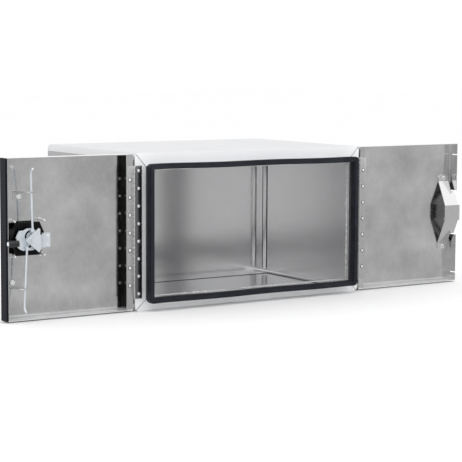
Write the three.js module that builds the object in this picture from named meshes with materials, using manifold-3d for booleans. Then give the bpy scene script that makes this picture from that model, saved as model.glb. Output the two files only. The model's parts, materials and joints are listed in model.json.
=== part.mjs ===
// Aluminium truck tool box with two side-hinged doors, both folded right back, and a three-point
// latch on the left door. Millimetres, +Z up, doors face -Y. The origin is the centre of the base.
import * as THREE from 'three';
import { mergeVertices } from 'three/addons/utils/BufferGeometryUtils.js';
import Module from 'manifold-3d';

const wasm = await Module();
wasm.setup();

// ---------------------------------------------------------------- driving dimensions
const width = 808;
const depth = 547;
const height = 457;
const sheet = 2;
const bendRadius = 12;
const gap = 0.3;
const restGap = 0.2;

const sideBand = 34.5;
const topBand = 37.5;
const bottomBand = 30.5;
const lipForward = 30;
const seamDrop = 20;

const sealWidth = 16;
const sealStart = 19.8;
const sealSqueeze = 0.3;
const sealCorner = 12;
const sealFace = { deep: 3, inset: 2, innerCorner: 2, slotCorner: 0.5 };

const doorDepth = 36;
const doorInset = 3;
const doorLip = 19.5;
const leftDoorShort = 9.75;
const rightDoorShort = 1.75;
const edgeSealThickness = 5.5;
const doorBend = 3;
const slotClearance = 0.7;

const knuckleRadius = 3.25;
const knuckleLength = 12.8;
const hingeEndInset = 36.5;
const leafWidth = 25.4;
const leafThickness = 1.5;
const pinRadius = 1.4;
const pinClearance = 0.3;
const rivetPitch = 50.8;
const rivetLine = 14.3;
const rivetHead = 4.6;
const rivetShank = 2.4;
const rivetDome = 1.9;
const rivetTail = 1.6;
const boltRadius = 3;
const boltHeadRadius = 6.2;
const knuckleSegments = 8;
const rivetSegments = 8;

const hubFromCentre = 72.25;
const hubBelowMiddle = 0.5;
const travel = 14.5;
const quarterTurn = Math.PI / 2;

// ---------------------------------------------------------------- derived positions
const front = -depth / 2;
const back = depth / 2;
const halfWidth = width / 2;
const hingeGap = 2 * knuckleRadius;
const axisX = halfWidth + knuckleRadius;
const axisY = front - knuckleRadius;
const skinInner = hingeGap + doorDepth - sheet;
const sealFront = skinInner - sealSqueeze;
const doorLow = doorInset;
const doorHigh = height - doorInset;
const middleZ = height / 2;
const mouthLeft = halfWidth - sideBand;
const mouthTop = height - topBand;
const leftDoorEdge = axisX - leftDoorShort;
const rightDoorEdge = axisX - rightDoorShort;
const hubAlong = axisX - hubFromCentre;
const hubHeight = middleZ - hubBelowMiddle;
const knuckleCount = 2 * Math.round((height - 2 * hingeEndInset) / knuckleLength / 2);
const hingeLength = knuckleCount * knuckleLength;
const frameRivets = Math.floor((hingeLength - 2 * rivetHead) / rivetPitch) + 1;
const doorRivets = frameRivets - 1;

// ---------------------------------------------------------------- materials
const paint = (color, metalness, roughness) => ({ color, metalness, roughness });
const looks = {
  aluminium: paint(0xb9bcbf, 0.9, 0.35),
  stainless: paint(0xa6a9ad, 0.9, 0.3),
  zinc: paint(0xc9d2da, 0.9, 0.3),
  rubber: paint(0x15171c, 0.0, 0.7),
  plastic: paint(0x17181a, 0.0, 0.5),
  nylon: paint(0x101113, 0.0, 0.45),
};

// ---------------------------------------------------------------- solids
function solidOf(geometry) {
  const bare = geometry.clone();
  bare.deleteAttribute('normal');
  bare.deleteAttribute('uv');
  const merged = mergeVertices(bare, 1e-4);
  return new wasm.Manifold(new wasm.Mesh({
    numProp: 3,
    vertProperties: new Float32Array(merged.attributes.position.array),
    triVerts: new Uint32Array(merged.index.array),
  }));
}

function geometryOf(solid) {
  const mesh = solid.getMesh();
  const geometry = new THREE.BufferGeometry();
  geometry.setAttribute('position', new THREE.BufferAttribute(mesh.vertProperties, 3));
  geometry.setIndex(new THREE.BufferAttribute(mesh.triVerts, 1));
  const flat = geometry.toNonIndexed();
  flat.computeVertexNormals();
  return flat;
}

function block(x0, x1, y0, y1, z0, z1) {
  const geometry = new THREE.BoxGeometry(x1 - x0, y1 - y0, z1 - z0);
  return solidOf(geometry.translate((x0 + x1) / 2, (y0 + y1) / 2, (z0 + z1) / 2));
}

// A round bar along Z from z0 to z1, centred on x and y.
function barZ(radius, x, y, z0, z1, segments = 20) {
  const geometry = new THREE.CylinderGeometry(radius, radius, z1 - z0, segments);
  return solidOf(geometry.rotateX(quarterTurn).translate(x, y, (z0 + z1) / 2));
}

// A round bar along Y from y0 to y1, centred on x and z.
function barY(radius, x, z, y0, y1, segments = 20) {
  const geometry = new THREE.CylinderGeometry(radius, radius, y1 - y0, segments);
  return solidOf(geometry.translate(x, (y0 + y1) / 2, z));
}

// A round bar along X from x0 to x1, centred on y and z.
function barX(radius, y, z, x0, x1, segments = 20) {
  const geometry = new THREE.CylinderGeometry(radius, radius, x1 - x0, segments);
  return solidOf(geometry.rotateZ(quarterTurn).translate((x0 + x1) / 2, y, z));
}

function outline(points) {
  return new THREE.Shape(points.map(([x, y]) => new THREE.Vector2(x, y)));
}

function roundedRectangle(x0, x1, y0, y1, radius) {
  const shape = new THREE.Shape();
  const down = -quarterTurn;
  shape.absarc(x1 - radius, y0 + radius, radius, down, 0);
  shape.absarc(x1 - radius, y1 - radius, radius, 0, quarterTurn);
  shape.absarc(x0 + radius, y1 - radius, radius, quarterTurn, Math.PI);
  shape.absarc(x0 + radius, y0 + radius, radius, Math.PI, Math.PI + quarterTurn);
  return shape;
}

// Extrudes a shape drawn in X and Z along Y, from y0 to y1.
function facing(shape, y0, y1, curveSegments = 6) {
  const settings = { depth: y1 - y0, bevelEnabled: false, curveSegments };
  return solidOf(new THREE.ExtrudeGeometry(shape, settings).rotateX(quarterTurn).translate(0, y1, 0));
}

// Extrudes a shape drawn in X and Y along Z, from z0 to z1.
function upright(shape, z0, z1, curveSegments = 6) {
  const settings = { depth: z1 - z0, bevelEnabled: false, curveSegments };
  return solidOf(new THREE.ExtrudeGeometry(shape, settings).translate(0, 0, z0));
}

// Extrudes a shape drawn in Y and Z along X, from x0 to x1.
function sideways(shape, x0, x1, curveSegments = 6) {
  const settings = { depth: x1 - x0, bevelEnabled: false, curveSegments };
  const geometry = new THREE.ExtrudeGeometry(shape, settings);
  const turn = new THREE.Matrix4().set(0, 0, 1, x0, 1, 0, 0, 0, 0, 1, 0, 0, 0, 0, 0, 1);
  return solidOf(geometry.applyMatrix4(turn));
}

function joined(solids) {
  return solids.reduce((sum, next) => sum.add(next));
}

// ---------------------------------------------------------------- scene graph
const group = new THREE.Group();

function addTo(parent, name, solid, look) {
  const mesh = new THREE.Mesh(geometryOf(solid), new THREE.MeshStandardMaterial(looks[look]));
  mesh.name = name;
  parent.add(mesh);
}

// ---------------------------------------------------------------- cabinet shell
const shellOutline = (inset) => roundedRectangle(
  -halfWidth + inset, halfWidth - inset, inset, height - inset, bendRadius - inset);

function shellPanels() {
  const y0 = front + sheet + gap;
  const y1 = back - sheet - gap;
  const wrap = facing(shellOutline(0), y0, y1).subtract(facing(shellOutline(sheet), y0 - 1, y1 + 1));
  const wide = halfWidth + 1;
  const low = seamDrop + gap;
  const high = height - seamDrop - gap;
  addTo(group, 'roof_panel', wrap.intersect(block(-wide, wide, y0, y1, high + gap, height)), 'aluminium');
  addTo(group, 'floor_panel', wrap.intersect(block(-wide, wide, y0, y1, 0, low - gap)), 'aluminium');
  addTo(group, 'left_end_panel', wrap.intersect(block(-wide, 0, y0, y1, low, high)), 'aluminium');
  addTo(group, 'right_end_panel', wrap.intersect(block(0, wide, y0, y1, low, high)), 'aluminium');
  addTo(group, 'back_panel', facing(shellOutline(0), back - sheet, back), 'aluminium');
}

// A prism between two opposite mitres, seen from the front.
function mitreWedge(corners, inner) {
  const points = [corners[0], corners[1], inner[1], inner[0]];
  return facing(outline(points), front - lipForward - 1, front + sheet + 1);
}

const hingeHoleX = (side) => side * (axisX - rivetLine);

const rivetHeights = (count) => Array.from(
  { length: count }, (_, i) => middleZ + (i - (count - 1) / 2) * rivetPitch);

function frontFrame() {
  const mouth = (inset) => outline([
    [-mouthLeft + inset, bottomBand + inset], [mouthLeft - inset, bottomBand + inset],
    [mouthLeft - inset, mouthTop - inset], [-mouthLeft + inset, mouthTop - inset]]);
  const y1 = front + sheet;
  const flange = facing(shellOutline(0), front, y1);
  const lip = facing(mouth(0), front - lipForward, y1);
  let ring = flange.add(lip).subtract(facing(mouth(sheet), front - lipForward - 1, y1 + 1));
  for (const side of [-1, 1]) {
    for (const z of rivetHeights(frameRivets)) {
      ring = ring.subtract(barY(rivetShank + gap, hingeHoleX(side), z, front - 1, y1 + 1, rivetSegments));
    }
  }
  const corner = (sx, top) => [
    [sx * halfWidth, top ? height : 0], [sx * mouthLeft, top ? mouthTop : bottomBand]];
  const mitreSlit = ([outer, inner]) => {
    const [dx, dz] = [inner[0] - outer[0], inner[1] - outer[1]];
    const slit = new THREE.BoxGeometry(4 * Math.hypot(dx, dz), lipForward + 10, gap);
    slit.rotateY(-Math.atan2(dz, dx));
    return solidOf(slit.translate(outer[0], front - lipForward / 2, outer[1]));
  };
  const corners = { tl: corner(-1, true), tr: corner(1, true), bl: corner(-1, false), br: corner(1, false) };
  for (const pair of Object.values(corners)) ring = ring.subtract(mitreSlit(pair));
  const deeper = ([outer, inner], reach) => [
    outer[0] + reach * (inner[0] - outer[0]), outer[1] + reach * (inner[1] - outer[1])];
  const members = {
    frame_top: ['tl', 'tr'], frame_bottom: ['br', 'bl'],
    frame_left: ['bl', 'tl'], frame_right: ['tr', 'br'] };
  for (const [name, [a, b]] of Object.entries(members)) {
    const ends = [corners[a], corners[b]];
    const wedge = mitreWedge(ends.map((c) => c[0]), ends.map((c) => deeper(c, 1.5)));
    addTo(group, name, ring.intersect(wedge), 'aluminium');
  }
}

function doorGasket() {
  const spread = (sealWidth - sheet) / 2;
  const ringShape = (grow, radius) => roundedRectangle(
    -mouthLeft - grow, mouthLeft + grow, bottomBand - grow, mouthTop + grow, radius);
  const ringAt = (grow, y0, y1) => facing(ringShape(grow, sealCorner), y0, y1)
    .subtract(facing(ringShape(2 * spread - grow - sealWidth, sealFace.innerCorner), y0 - 1, y1 + 1));
  const slot = (inset) => facing(ringShape(inset, sealFace.slotCorner), front - lipForward - gap, front);
  const shoulder = front - sealFront + sealFace.deep;
  const body = ringAt(spread, shoulder, front - sealStart);
  const face = ringAt(spread - sealFace.inset, front - sealFront, shoulder);
  const groove = slot(gap).subtract(slot(-sheet - gap));
  addTo(group, 'door_gasket', body.add(face).subtract(groove), 'rubber');
}

shellPanels();
frontFrame();
doorGasket();

// ---------------------------------------------------------------- hinges
// Distances out from the front plane are positive towards -Y, so y = front - out.
const slotLength = hingeLength / knuckleCount;
const slotStart = (i) => middleZ - hingeLength / 2 + i * slotLength;

function knuckleBarrel(own) {
  const pieces = [];
  for (let i = own; i < knuckleCount; i += 2) {
    const z0 = slotStart(i) + gap / 2;
    const z1 = slotStart(i + 1) - gap / 2;
    pieces.push(barZ(knuckleRadius, 0, 0, z0, z1, knuckleSegments));
  }
  return joined(pieces);
}

// A rivet with its head at headY, facing -Y, and its upset tail just past the sheet at farY.
function rivet(x, z, headY, farY) {
  const sunk = 0.1;
  const dome = new THREE.CylinderGeometry(rivetHead, rivetHead * 0.55, rivetDome, rivetSegments);
  const head = solidOf(dome.translate(x, headY + sunk - rivetDome / 2, z));
  const end = farY + gap + rivetTail;
  const shank = barY(rivetShank, x, z, headY, end, rivetSegments);
  const bulb = barY(rivetShank * 1.6, x, z, farY + gap, end, rivetSegments);
  return joined([head, shank, bulb]);
}

// toward is the way the leaf runs from the pin, and own is the first knuckle that belongs to it.
function hingeLeaf(toward, own, leafY0, rivetCount, sheetFarY) {
  const leafY1 = leafY0 + leafThickness;
  const clear = knuckleRadius + gap;
  const span = (from, to) => [Math.min(toward * from, toward * to), Math.max(toward * from, toward * to)];
  const [plateLow, plateHigh] = span(clear, leafWidth);
  const z0 = slotStart(0);
  const z1 = slotStart(knuckleCount);
  const parts = [block(plateLow, plateHigh, leafY0, leafY1, z0, z1), knuckleBarrel(own)];
  const [tongueLow, tongueHigh] = span(0, clear + 1);
  for (let i = own; i < knuckleCount; i += 2) {
    const from = slotStart(i) + gap / 2;
    const to = slotStart(i + 1) - gap / 2;
    parts.push(block(tongueLow, tongueHigh, leafY0, leafY1, from, to));
  }
  for (const z of rivetHeights(rivetCount)) {
    parts.push(rivet(toward * rivetLine, z, leafY0, sheetFarY));
  }
  const bore = barZ(pinRadius + pinClearance, 0, 0, z0 - 1, z1 + 1, knuckleSegments);
  return joined(parts).subtract(bore);
}

function hingePin() {
  const overhang = 1;
  return barZ(pinRadius, 0, 0, slotStart(0) - overhang, slotStart(knuckleCount) + overhang, knuckleSegments);
}

// Local frame of each door group: origin on the hinge axis, doors folded right back.
// s runs out along the door from the axis and y = out - knuckleRadius.
const outToY = (out) => out - knuckleRadius;

const sides = { left: -1, right: 1 };
const doorGroups = {};
for (const [name, side] of Object.entries(sides)) {
  const at = new THREE.Group();
  at.position.set(side * axisX, axisY, 0);
  group.add(at);
  doorGroups[name] = at;
  // The frame leaf lies on the front flange, with its rivet heads towards -Y.
  const frameLeafY = knuckleRadius - restGap - leafThickness;
  const frameLeaf = hingeLeaf(-side, 0, frameLeafY, frameRivets, knuckleRadius + sheet);
  addTo(at, `${name}_hinge_frame_leaf`, frameLeaf, 'stainless');
  const lipY = outToY(hingeGap);
  const doorLeaf = hingeLeaf(side, 1, lipY - restGap - leafThickness, doorRivets, lipY + sheet);
  addTo(at, `${name}_hinge_door_leaf`, doorLeaf, 'stainless');
  addTo(at, `${name}_hinge_pin`, hingePin(), 'stainless');
}

// ---------------------------------------------------------------- door pans
// The free edge has a slot for each of the frame's upper and lower lips, which it crosses when shut.
function lipSlots(from, to) {
  const end = outToY(lipForward + slotClearance);
  const cut = (low) => block(from, to, outToY(0), end, low - slotClearance, low + sheet + slotClearance);
  return cut(bottomBand).add(cut(mouthTop - sheet));
}

function doorPan(side, edge) {
  const s0 = knuckleRadius;
  const lipY = outToY(hingeGap);
  const skinY = outToY(hingeGap + doorDepth);
  const pan = (inset) => {
    const shape = new THREE.Shape();
    const radius = doorBend - inset;
    shape.moveTo(s0 + inset, lipY);
    shape.lineTo(edge - inset, lipY);
    shape.absarc(edge - doorBend, skinY - doorBend, radius, 0, quarterTurn);
    shape.absarc(s0 + doorBend, skinY - doorBend, radius, quarterTurn, Math.PI);
    return shape;
  };
  const flip = (solid) => (side < 0 ? solid.mirror([1, 0, 0]) : solid);
  const outer = upright(pan(0), doorLow, doorHigh, 3);
  const hollow = upright(pan(sheet), doorLow + sheet, doorHigh - sheet, 3);
  const lipHole = block(s0 + sheet, edge - sheet, lipY - 1, lipY + 1, doorLow + sheet, doorHigh - sheet);
  const lip = block(s0 + 1, s0 + doorLip, lipY, lipY + sheet, doorLow + 1, doorHigh - 1);
  let solid = outer.subtract(hollow).subtract(lipHole).add(lip)
    .subtract(lipSlots(edge - sheet - 1, edge + 1));
  for (const z of rivetHeights(doorRivets)) {
    solid = solid.subtract(barY(rivetShank + gap, rivetLine, z, lipY - 1, lipY + sheet + 1, rivetSegments));
  }
  return flip(solid);
}

// ---------------------------------------------------------------- latch
// Local frame of the latch: origin at the hub on the door's inner face, X to the right, Z up.
// Heights above the inner face grow towards -Y, so y = -high.
const latchGroup = new THREE.Group();
const innerFaceY = outToY(skinInner);
latchGroup.position.set(-hubAlong, innerFaceY, hubHeight);
doorGroups.left.add(latchGroup);

const dish = {
  left: -35.5, right: 56, low: -45.5, top: 47, corner: 5, deep: 20, wall: 3, pocket: 39.5,
  cutX: 15, cutTop: 33, cutLow: 15 };
const bezel = { x: 5, z: 3, halfX: 57, halfZ: 61, thickness: 2.5, corner: 9 };
const boss = { radius: 12, top: 30 };
const rimX = 6;
const rimRadius = 43;
const rimWide = 3;
const rimRise = 1.2;
const legClearance = 3;
const boltSpread = { x: 45, z: 48.5 };
const boltTop = 33;
const dishBoltHead = { radius: 6.5, thick: 2.6 };
const dishNut = { thick: 5, flats: 10 };
const hubNut = { thick: 4, flats: 13 };
const stubPast = 6;
const studRadius = 4;
const studHead = { radius: 6, backRadius: 5.5, thick: 1.8 };
const pinHeadThick = 2;
const shaftRadius = 7;
const squareHalf = 5;
const stubRadius = 4.5;
const fit = 0.3;
const latchPlate = 3;
const camOverFlange = 2;
const rodOverCam = 7.2;
const eyeHalf = 2;
const bracketOverEye = 3.8;
const rollerOverFlange = 14.5;
const flangeHigh = doorDepth - sheet;
const camLow = flangeHigh + camOverFlange;
const camHigh = camLow + latchPlate;
const camRadius = 32;
const camBottom = -29.5;
const armDrop = 7.5;
const rodRadius = 3;
const rodHigh = camHigh + rodOverCam;
const eyeLow = rodHigh - eyeHalf;
const eyeHigh = rodHigh + eyeHalf;
const eyeRadius = 5.2;
const rodStart = 4;
const linkPinRadius = 2.5;
const linkHeadRadius = 4;
const bracketLow = eyeHigh + bracketOverEye;
const bracketHigh = bracketLow + latchPlate;
const rollerHigh = flangeHigh + rollerOverFlange;
const rollerOverStrike = 1.1;
const rollerRadius = 9.2;
const roller = { from: -38.4, to: -68 };

const high = (low, top) => [-top, -low];
const plateAt = (shape, low, top, segments) => facing(shape, ...high(low, top), segments);
const postAt = (radius, x, z, low, top, segments) => barY(radius, x, z, ...high(low, top), segments);
const blockAt = (x0, x1, low, top, z0, z1) => block(x0, x1, ...high(low, top), z0, z1);

// The dish's back plate, with cut corners and a recess on the right that the bracket's leg passes.
function dishPlate(low, top) {
  const { left, right, corner, cutX, cutTop, cutLow } = dish;
  const outer = plateAt(outline([
    [left + corner, dish.low], [right - cutX, dish.low], [right - cutX / 2, dish.low + cutLow],
    [right, dish.low + 2 * cutLow], [right, dish.top - cutTop], [right - cutX, dish.top],
    [left + corner, dish.top], [left, dish.top - corner], [left, dish.low + corner]]), low, top);
  const legPath = blockAt(bracket.passX, right + 1, low - 1, top + 1,
    bracket.legZ - bracket.legHalf - legClearance, bracket.legZ + bracket.legHalf + legClearance);
  return outer.subtract(legPath);
}

const dishBoltPlaces = [[-1, 1], [1, 1], [1, -1], [-1, -1]].map(
  ([sx, sz]) => [bezel.x + sx * boltSpread.x, bezel.z + sz * boltSpread.z]);
const bezelInner = -sheet - restGap;
const outsideHead = 2.2;
const bezelOuter = bezelInner - bezel.thickness;

function latchDish() {
  const bowlRadius = dish.pocket + dish.wall;
  const plate = dishPlate(dish.deep - dish.wall, dish.deep);
  const bowl = postAt(bowlRadius, 0, 0, bezelOuter + 1, dish.deep, 40);
  const flange = plateAt(roundedRectangle(bezel.x - bezel.halfX, bezel.x + bezel.halfX,
    bezel.z - bezel.halfZ, bezel.z + bezel.halfZ, bezel.corner), bezelOuter, bezelInner);
  const rim = postAt(rimRadius, rimX, 0, dish.deep - 1, dish.deep + rimRise, 40)
    .subtract(postAt(rimRadius - rimWide, rimX, 0, dish.deep - 2, dish.deep + rimRise + 1, 40))
    .intersect(dishPlate(0, dish.deep + rimRise));
  const bearing = postAt(boss.radius, 0, 0, dish.deep - 1, boss.top, 32);
  let solid = joined([plate, bowl, flange, rim, bearing]);
  solid = solid.subtract(postAt(dish.pocket, 0, 0, bezelOuter - 1, dish.deep - dish.wall, 40));
  solid = solid.subtract(postAt(shaftRadius + fit, 0, 0, 0, boss.top + 1, 32));
  for (const [x, z] of dishBoltPlaces) {
    solid = solid.subtract(postAt(boltRadius + fit, x, z, bezelOuter - 1, dish.deep + 5, 16));
  }
  return solid;
}

function dishBolt(x, z) {
  const seat = bezelOuter - restGap;
  const head = postAt(dishBoltHead.radius, x, z, seat - dishBoltHead.thick, seat, 20);
  return head.add(postAt(boltRadius, x, z, bezelOuter - 1, boltTop, 16));
}

function hexNut(x, z, low, top, flats, bore) {
  const nut = postAt(flats / 2 / Math.cos(Math.PI / 6), x, z, low, top, 6);
  return nut.subtract(postAt(bore, x, z, low - 1, top + 1, 16));
}

const pivot = { z: -13, high: 5.5, barrel: 5.5, pin: 2.5 };
const lug = { from: 8.9, to: 12.5, half: 5.5 };
const pinPast = 0.8;
const headDisc = { radius: 20, low: 12.5 };
const discTop = dish.deep - dish.wall - gap;

function latchSpindle() {
  const parts = [
    postAt(headDisc.radius, 0, 0, headDisc.low, discTop, 36),
    postAt(shaftRadius, 0, 0, discTop - 1, camLow - gap, 32),
    blockAt(-squareHalf, squareHalf, camLow - 1, bracketLow - gap, -squareHalf, squareHalf),
    postAt(stubRadius, 0, 0, bracketLow - 1, bracketHigh + stubPast, 24)];
  for (const sx of [-1, 1]) {
    const [x0, x1] = [Math.min(sx * lug.from, sx * lug.to), Math.max(sx * lug.from, sx * lug.to)];
    parts.push(blockAt(x0, x1, pivot.high, headDisc.low + 1, pivot.z - lug.half, pivot.z + lug.half));
    parts.push(barX(lug.half, -pivot.high, pivot.z, x0, x1, 20));
  }
  const bore = barX(pivot.pin + fit, -pivot.high, pivot.z, -lug.to - 1, lug.to + 1, 16);
  return joined(parts).subtract(bore);
}

// The rods slide along their own leaning lines while the hub turns a quarter turn. Locked, their
// tips stand past the edges of the mouth, behind the front frame's lip when the door is shut.
const tipPastMouth = { upper: 5.5, lower: 2.5 };
const tipPastGuide = 64;
const rodBend = { before: 14, corner: 8, lift: 12 };
const upperTip = mouthTop + tipPastMouth.upper - hubHeight;
const lowerTip = hubHeight - bottomBand + tipPastMouth.lower;
const links = {
  upper: { x: 6.3, z: 25.5, lean: 1.4, way: 1, tip: upperTip, guide: upperTip - tipPastGuide },
  lower: { x: -11, z: -22, lean: 3.2, way: -1, tip: lowerTip, guide: lowerTip - tipPastGuide },
};

function rodLine(link) {
  const lean = THREE.MathUtils.degToRad(link.lean);
  return { dx: -Math.sin(lean), dz: link.way * Math.cos(lean) };
}

// Where a rod's pin stands on the cam plate after the hub has turned by some angle.
function pinOnCam(link, angle) {
  const { dx, dz } = rodLine(link);
  const slid = travel * angle / quarterTurn;
  const [x, z] = [link.x - dx * slid, link.z - dz * slid];
  const [c, s] = [Math.cos(angle), Math.sin(angle)];
  return [x * c - z * s, x * s + z * c];
}

function camSlot(link) {
  const steps = 10;
  const over = 0.03;
  const radius = linkPinRadius + fit;
  const pieces = [];
  for (let i = 0; i < steps; i += 1) {
    const a = -over + (quarterTurn + 2 * over) * i / steps;
    const b = -over + (quarterTurn + 2 * over) * (i + 1) / steps;
    const [[x0, z0], [x1, z1]] = [pinOnCam(link, a), pinOnCam(link, b)];
    const along = Math.atan2(z1 - z0, x1 - x0);
    const [nx, nz] = [-Math.sin(along) * radius, Math.cos(along) * radius];
    pieces.push(plateAt(outline([[x0 - nx, z0 - nz], [x1 - nx, z1 - nz], [x1 + nx, z1 + nz],
      [x0 + nx, z0 + nz]]), camLow - 1, camHigh + 1));
    pieces.push(postAt(radius, x1, z1, camLow - 1, camHigh + 1, 16));
  }
  pieces.push(postAt(radius, ...pinOnCam(link, -over), camLow - 1, camHigh + 1, 16));
  return joined(pieces);
}

const tabPastStud = 7.5;
const tab = { outer: roller.from + 0.4, thickness: latchPlate, half: 8.5, top: rollerHigh + tabPastStud };

function camPlate() {
  const disc = postAt(camRadius, 0, 0, camLow, camHigh, 48)
    .intersect(blockAt(-camRadius, camRadius, camLow, camHigh, camBottom, camRadius));
  const wing = plateAt(outline([
    [0, 26], [-6, 28], [-31, 25.5], [-41, 7], [tab.outer, 4], [tab.outer, -armDrop - tab.half],
    [-31, -24], [-20, camBottom], [0, camBottom]]), camLow, camHigh);
  const stand = blockAt(tab.outer, tab.outer + tab.thickness, camLow, tab.top,
    -armDrop - tab.half, -armDrop + tab.half);
  const hole = squareHalf + fit;
  const studHole = barX(studRadius + fit, -rollerHigh, -armDrop, tab.outer - 1, tab.outer + 5, 20);
  return joined([disc, wing, stand])
    .subtract(blockAt(-hole, hole, camLow - 1, camHigh + 1, -hole, hole))
    .subtract(camSlot(links.upper)).subtract(camSlot(links.lower)).subtract(studHole);
}

function rollerStud() {
  const shank = barX(studRadius, -rollerHigh, -armDrop, roller.to - 1, tab.outer + tab.thickness + 1, 20);
  const end = roller.to - gap;
  const endHead = barX(studHead.radius, -rollerHigh, -armDrop, end - studHead.thick, end, 20);
  const back = tab.outer + tab.thickness + restGap;
  const backHead = barX(studHead.backRadius, -rollerHigh, -armDrop, back, back + studHead.thick, 20);
  return joined([shank, endHead, backHead]);
}

function latchRoller() {
  return barX(rollerRadius, -rollerHigh, -armDrop, roller.to, roller.from, 28)
    .subtract(barX(studRadius + fit, -rollerHigh, -armDrop, roller.to - 1, roller.from + 1, 20));
}

const bracket = {
  apexX: -15.2, rightX: 25.8, top: 32.5, bottom: -34.5, passX: 44, legX: 63, footX: 82.5,
  legZ: -8, legHalf: 20 };
const footThickness = 3;
const bracketRivets = [-20, 4];
const bracketRivetX = bracket.footX - 8;

function latchBracket() {
  const b = bracket;
  const top = plateAt(outline([
    [b.apexX, -3], [b.rightX - 4, b.bottom], [b.rightX, b.bottom + 3],
    [b.rightX, b.top - 3], [b.rightX - 4, b.top], [b.apexX, 4]]), bracketLow, bracketHigh);
  const base = restGap;
  const strip = [
    [-bracketHigh, b.rightX - 8], [-bracketHigh, b.rightX + 1.5], [-base - footThickness, b.legX + 1],
    [-base - footThickness, b.footX], [-base, b.footX], [-base, b.legX - 1], [-bracketLow, b.rightX - 1],
    [-bracketLow, b.rightX - 8]];
  const z0 = b.legZ - b.legHalf;
  const leg = upright(outline(strip.map(([y, x]) => [x, y])), z0, z0 + 2 * b.legHalf);
  let solid = top.add(leg).subtract(postAt(stubRadius + fit, 0, 0, bracketLow - 1, bracketHigh + 1, 24));
  for (const z of bracketRivets) {
    solid = solid.subtract(postAt(rivetShank + gap, bracketRivetX, z, -1, footThickness + 2, 12));
  }
  return solid;
}

function throughRivet(x, z, innerTop) {
  const seat = innerTop + restGap;
  const head = postAt(rivetHead, x, z, seat, seat + rivetDome, 14);
  const shank = postAt(rivetShank, x, z, -sheet - 1, innerTop + 1, 12);
  const outside = postAt(rivetHead, x, z, bezelInner - rivetTail, bezelInner, 14);
  return joined([head, shank, outside]);
}

// A rod with a flat eye at the hub, straight to its guide and bent inwards at the tip.
function latchRod(link) {
  const { dx, dz } = rodLine(link);
  const reach = link.tip - Math.abs(link.z);
  const at = (d, lift) => new THREE.Vector3(link.x + dx * d, -rodHigh - lift, link.z + dz * d);
  const straight = reach - rodBend.before;
  const path = new THREE.CurvePath();
  path.add(new THREE.LineCurve3(at(rodStart, 0), at(straight, 0)));
  const turn = at(straight + rodBend.corner, 0);
  path.add(new THREE.QuadraticBezierCurve3(at(straight, 0), turn, at(reach, rodBend.lift)));
  const circle = new THREE.Shape();
  circle.absarc(0, 0, rodRadius, 0, 2 * Math.PI);
  const settings = { steps: 14, extrudePath: path, curveSegments: 6, bevelEnabled: false };
  const bar = solidOf(new THREE.ExtrudeGeometry(circle, settings));
  const eye = postAt(eyeRadius, link.x, link.z, eyeLow, eyeHigh, 24);
  return bar.add(eye).subtract(postAt(linkPinRadius + fit, link.x, link.z, eyeLow - 9, eyeHigh + 9, 16));
}

function linkPin(link) {
  const under = camLow - 2 * restGap;
  const over = eyeHigh + restGap;
  return joined([
    postAt(linkPinRadius, link.x, link.z, under - 1, over + 1, 16),
    postAt(linkHeadRadius, link.x, link.z, under - pinHeadThick, under, 18),
    postAt(linkHeadRadius, link.x, link.z, over, over + pinHeadThick, 18)]);
}

const guide = {
  baseFrom: -35, baseTo: 9, baseTall: 25, thickness: 2.5, reach: rodHigh + 7.8, endHalf: 9, holeClear: 0.6 };

function guidePlace(link) {
  const { dx, dz } = rodLine(link);
  const along = (link.guide - Math.abs(link.z)) / Math.abs(dz);
  return { x: link.x + dx * along, z: link.z + dz * along };
}

function rodGuide(link) {
  const { x, z } = guidePlace(link);
  const g = guide;
  const base = restGap;
  const foot = link.way > 0 ? [z - g.baseTall, z] : [z, z + g.baseTall];
  const flange = blockAt(x + g.baseFrom, x + g.baseTo, base, base + g.thickness, ...foot);
  const shelf = upright(outline([
    [x + g.baseFrom, -base], [x + g.baseTo, -base], [x + g.endHalf, -g.reach + 4],
    [x + g.endHalf - 4, -g.reach], [x - g.endHalf + 2, -g.reach]]),
  Math.min(z, z - link.way * g.thickness), Math.max(z, z - link.way * g.thickness));
  const hole = barZ(rodRadius + g.holeClear, x, -rodHigh, z - 10, z + 10, 20);
  const bolt = guideBoltPlace(link);
  return flange.add(shelf).subtract(hole)
    .subtract(postAt(boltRadius + fit, bolt.x, bolt.z, -1, 9, 16));
}

function guideBoltPlace(link) {
  const { x, z } = guidePlace(link);
  return { x: x + guide.baseFrom + 16, z: z - link.way * guide.baseTall * 0.6 };
}

const guideBoltHead = { radius: 7.5, thick: 4.5 };

function guideBolt(link) {
  const { x, z } = guideBoltPlace(link);
  const face = 2 * restGap + guide.thickness;
  return joined([
    postAt(guideBoltHead.radius, x, z, face, face + guideBoltHead.thick, 20),
    postAt(boltRadius, x, z, -sheet - 1, face + 1, 16),
    postAt(boltHeadRadius, x, z, bezelInner - outsideHead, bezelInner, 20)]);
}

// ---------------------------------------------------------------- folding handle
const grip = { z: 15, half: 30, tall: 6.5, corner: 5, low: -1, top: 10.5 };
const stem = { half: 8.5, low: 1.5, top: 9.5 };
const lock = { z: 2, housing: 7.4, plug: 5, face: -1.2, deep: 8, keyHalf: 0.9, keyTall: 3.2, keyFloor: 3 };

function tHandle() {
  const face = roundedRectangle(-grip.half, grip.half, grip.z - grip.tall, grip.z + grip.tall, grip.corner);
  const bar = plateAt(face, grip.low, grip.top);
  const arm = blockAt(-stem.half, stem.half, stem.low, stem.top, pivot.z, grip.z);
  const barrel = barX(pivot.barrel, -pivot.high, pivot.z, -stem.half, stem.half, 24);
  const housing = postAt(lock.housing, 0, lock.z, lock.face + 1, grip.top, 28);
  return joined([bar, arm, barrel, housing])
    .subtract(barX(pivot.pin + fit, -pivot.high, pivot.z, -20, 20, 16))
    .subtract(postAt(lock.plug + fit, 0, lock.z, lock.face - 1, lock.deep + fit, 24));
}

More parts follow.
